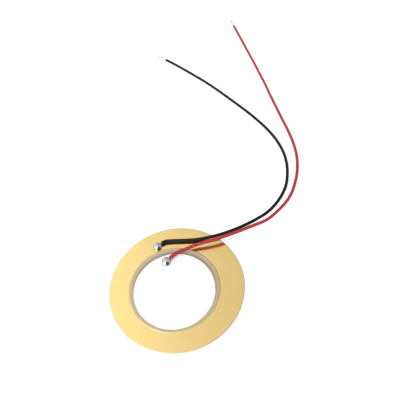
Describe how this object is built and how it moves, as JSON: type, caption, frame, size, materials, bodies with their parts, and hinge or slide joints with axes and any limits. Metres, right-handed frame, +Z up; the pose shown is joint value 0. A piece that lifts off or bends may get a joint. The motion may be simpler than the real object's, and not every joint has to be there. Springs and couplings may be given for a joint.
{
  "type": "piezo disc",
  "caption": "Round brass piezo sounder plate with a silvered ceramic disc bonded off its centre, and a black and a red lead soldered on and curving away to tinned ends.",
  "frame": {"origin": "centre of the brass plate's underside", "axes": "+Z up through the ceramic, the leads run away towards +Y and pass over the plate's rim on its +X side"},
  "size_m": [0.0579, 0.1338, 0.0025],
  "materials": {
    "brass": "bright rolled sheet",
    "adhesive": "thin hardened epoxy",
    "ceramic": "fired and unglazed",
    "silver": "fired silver, matt white",
    "solder": "bright, with flux gloss",
    "black_pvc": "satin",
    "red_pvc": "satin",
    "tinned_copper": "tinned strands"
  },
  "bodies": {
    "root": {"brass_plate": "brass", "bond_layer": "adhesive", "lower_electrode": "silver", "ceramic_disc": "ceramic", "upper_electrode": "silver", "plate_solder": "solder", "electrode_solder": "solder", "black_jacket": "black_pvc", "black_conductor": "tinned_copper", "red_jacket": "red_pvc", "red_conductor": "tinned_copper"}
  },
  "joints": []
}
